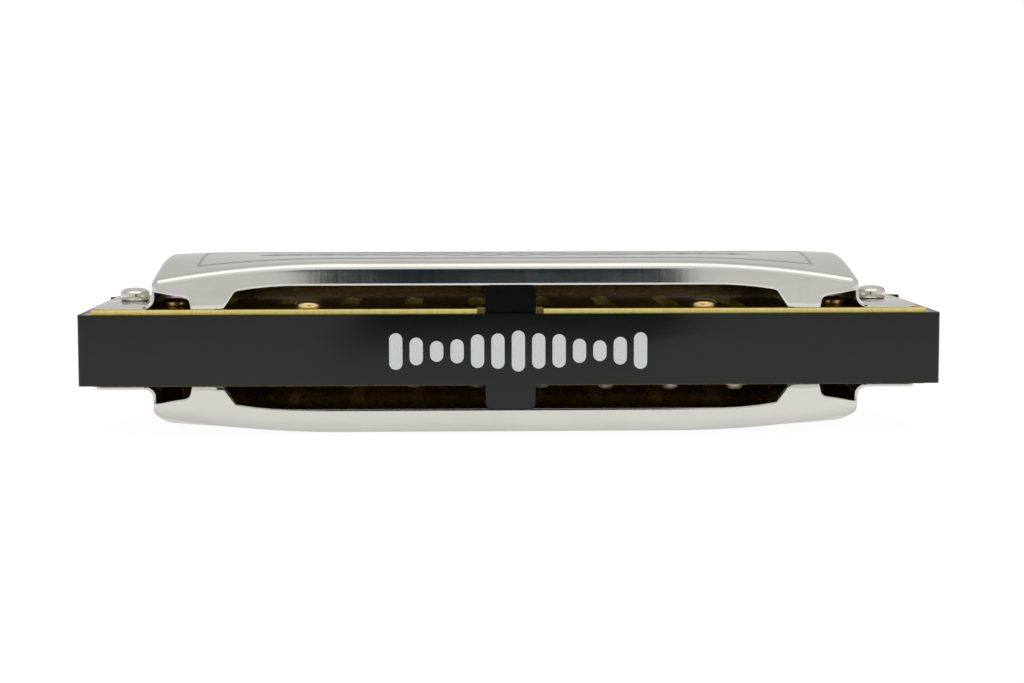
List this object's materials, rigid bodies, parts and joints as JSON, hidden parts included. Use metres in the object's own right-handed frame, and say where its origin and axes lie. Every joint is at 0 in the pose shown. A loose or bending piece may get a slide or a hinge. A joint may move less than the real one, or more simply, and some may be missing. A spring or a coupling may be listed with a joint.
{
  "type": "diatonic harmonica",
  "caption": "Diatonic mouth harmonica: black moulded comb with mouth holes, brass reed plates with sprung reeds, and pressed steel covers held by slotted bolts.",
  "frame": {"origin": "under the middle of the comb, on the flat of the lower cover", "axes": "+X along the comb towards the low notes (hole 1), +Y from the rear face towards the mouth holes, +Z towards the upper cover"},
  "size_m": [0.1024, 0.027, 0.0213],
  "materials": {
    "comb_plastic": "satin moulded black plastic",
    "plate_brass": "bright milled brass",
    "reed_brass": "filed brass with fine lengthwise scratches",
    "cover_steel": "satin polished stainless steel sheet",
    "nickel": "nickel plated steel"
  },
  "bodies": {
    "body": {"comb": "comb_plastic", "upper_reed_plate": "plate_brass", "lower_reed_plate": "plate_brass", "upper_cover": "cover_steel", "lower_cover": "cover_steel", "blow_reed_feet": "reed_brass", "draw_reed_feet": "reed_brass", "blow_rivets": "plate_brass", "draw_rivets": "nickel", "left_cover_bolt": "nickel", "right_cover_bolt": "nickel", "rear_left_plate_screw": "plate_brass", "rear_right_plate_screw": "plate_brass", "end_left_plate_screw": "plate_brass", "end_right_plate_screw": "plate_brass"},
    "blow_reed_1": {"blow_reed_1": "reed_brass"},
    "blow_reed_2": {"blow_reed_2": "reed_brass"},
    "blow_reed_3": {"blow_reed_3": "reed_brass"},
    "blow_reed_4": {"blow_reed_4": "reed_brass"},
    "blow_reed_5": {"blow_reed_5": "reed_brass"},
    "blow_reed_6": {"blow_reed_6": "reed_brass"},
    "blow_reed_7": {"blow_reed_7": "reed_brass"},
    "blow_reed_8": {"blow_reed_8": "reed_brass"},
    "blow_reed_9": {"blow_reed_9": "reed_brass"},
    "blow_reed_10": {"blow_reed_10": "reed_brass"},
    "draw_reed_1": {"draw_reed_1": "reed_brass"},
    "draw_reed_2": {"draw_reed_2": "reed_brass"},
    "draw_reed_3": {"draw_reed_3": "reed_brass"},
    "draw_reed_4": {"draw_reed_4": "reed_brass"},
    "draw_reed_5": {"draw_reed_5": "reed_brass"},
    "draw_reed_6": {"draw_reed_6": "reed_brass"},
    "draw_reed_7": {"draw_reed_7": "reed_brass"},
    "draw_reed_8": {"draw_reed_8": "reed_brass"},
    "draw_reed_9": {"draw_reed_9": "reed_brass"},
    "draw_reed_10": {"draw_reed_10": "reed_brass"}
  },
  "joints": [
    {"name": "blow_reed_1_swing", "type": "hinge", "parent": "body", "child": "blow_reed_1", "pos_m": [0.0351, 0.0055, 0.01409], "axis": [-1, 0, 0], "range_deg": [-3, 3], "stiffness_Nm_per_rad": 0.0547},
    {"name": "draw_reed_1_swing", "type": "hinge", "parent": "body", "child": "draw_reed_1", "pos_m": [0.0351, -0.0076, 0.00588], "axis": [1, 0, 0], "range_deg": [-3, 3], "stiffness_Nm_per_rad": 0.0547},
    {"name": "blow_reed_2_swing", "type": "hinge", "parent": "body", "child": "blow_reed_2", "pos_m": [0.0273, 0.0055, 0.01409], "axis": [-1, 0, 0], "range_deg": [-3, 3], "stiffness_Nm_per_rad": 0.0574},
    {"name": "draw_reed_2_swing", "type": "hinge", "parent": "body", "child": "draw_reed_2", "pos_m": [0.0273, -0.00688, 0.00588], "axis": [1, 0, 0], "range_deg": [-3, 3], "stiffness_Nm_per_rad": 0.0574},
    {"name": "blow_reed_3_swing", "type": "hinge", "parent": "body", "child": "blow_reed_3", "pos_m": [0.0195, 0.0055, 0.01409], "axis": [-1, 0, 0], "range_deg": [-3, 3], "stiffness_Nm_per_rad": 0.0605},
    {"name": "draw_reed_3_swing", "type": "hinge", "parent": "body", "child": "draw_reed_3", "pos_m": [0.0195, -0.00616, 0.00588], "axis": [1, 0, 0], "range_deg": [-3, 3], "stiffness_Nm_per_rad": 0.0605},
    {"name": "blow_reed_4_swing", "type": "hinge", "parent": "body", "child": "blow_reed_4", "pos_m": [0.0117, 0.0055, 0.01409], "axis": [-1, 0, 0], "range_deg": [-3, 3], "stiffness_Nm_per_rad": 0.0639},
    {"name": "draw_reed_4_swing", "type": "hinge", "parent": "body", "child": "draw_reed_4", "pos_m": [0.0117, -0.00544, 0.00588], "axis": [1, 0, 0], "range_deg": [-3, 3], "stiffness_Nm_per_rad": 0.0639},
    {"name": "blow_reed_5_swing", "type": "hinge", "parent": "body", "child": "blow_reed_5", "pos_m": [0.0039, 0.0055, 0.01409], "axis": [-1, 0, 0], "range_deg": [-3, 3], "stiffness_Nm_per_rad": 0.0677},
    {"name": "draw_reed_5_swing", "type": "hinge", "parent": "body", "child": "draw_reed_5", "pos_m": [0.0039, -0.00472, 0.00588], "axis": [1, 0, 0], "range_deg": [-3, 3], "stiffness_Nm_per_rad": 0.0677},
    {"name": "blow_reed_6_swing", "type": "hinge", "parent": "body", "child": "blow_reed_6", "pos_m": [-0.0039, 0.0055, 0.01409], "axis": [-1, 0, 0], "range_deg": [-3, 3], "stiffness_Nm_per_rad": 0.072},
    {"name": "draw_reed_6_swing", "type": "hinge", "parent": "body", "child": "draw_reed_6", "pos_m": [-0.0039, -0.004, 0.00588], "axis": [1, 0, 0], "range_deg": [-3, 3], "stiffness_Nm_per_rad": 0.072},
    {"name": "blow_reed_7_swing", "type": "hinge", "parent": "body", "child": "blow_reed_7", "pos_m": [-0.0117, 0.0055, 0.01409], "axis": [-1, 0, 0], "range_deg": [-3, 3], "stiffness_Nm_per_rad": 0.0768},
    {"name": "draw_reed_7_swing", "type": "hinge", "parent": "body", "child": "draw_reed_7", "pos_m": [-0.0117, -0.00328, 0.00588], "axis": [1, 0, 0], "range_deg": [-3, 3], "stiffness_Nm_per_rad": 0.0768},
    {"name": "blow_reed_8_swing", "type": "hinge", "parent": "body", "child": "blow_reed_8", "pos_m": [-0.0195, 0.0055, 0.01409], "axis": [-1, 0, 0], "range_deg": [-3, 3], "stiffness_Nm_per_rad": 0.0824},
    {"name": "draw_reed_8_swing", "type": "hinge", "parent": "body", "child": "draw_reed_8", "pos_m": [-0.0195, -0.00256, 0.00588], "axis": [1, 0, 0], "range_deg": [-3, 3], "stiffness_Nm_per_rad": 0.0824},
    {"name": "blow_reed_9_swing", "type": "hinge", "parent": "body", "child": "blow_reed_9", "pos_m": [-0.0273, 0.0055, 0.01409], "axis": [-1, 0, 0], "range_deg": [-3, 3], "stiffness_Nm_per_rad": 0.0888},
    {"name": "draw_reed_9_swing", "type": "hinge", "parent": "body", "child": "draw_reed_9", "pos_m": [-0.0273, -0.00184, 0.00588], "axis": [1, 0, 0], "range_deg": [-3, 3], "stiffness_Nm_per_rad": 0.0888},
    {"name": "blow_reed_10_swing", "type": "hinge", "parent": "body", "child": "blow_reed_10", "pos_m": [-0.0351, 0.0055, 0.01409], "axis": [-1, 0, 0], "range_deg": [-3, 3], "stiffness_Nm_per_rad": 0.0963},
    {"name": "draw_reed_10_swing", "type": "hinge", "parent": "body", "child": "draw_reed_10", "pos_m": [-0.0351, -0.00112, 0.00588], "axis": [1, 0, 0], "range_deg": [-3, 3], "stiffness_Nm_per_rad": 0.0963}
  ]
}
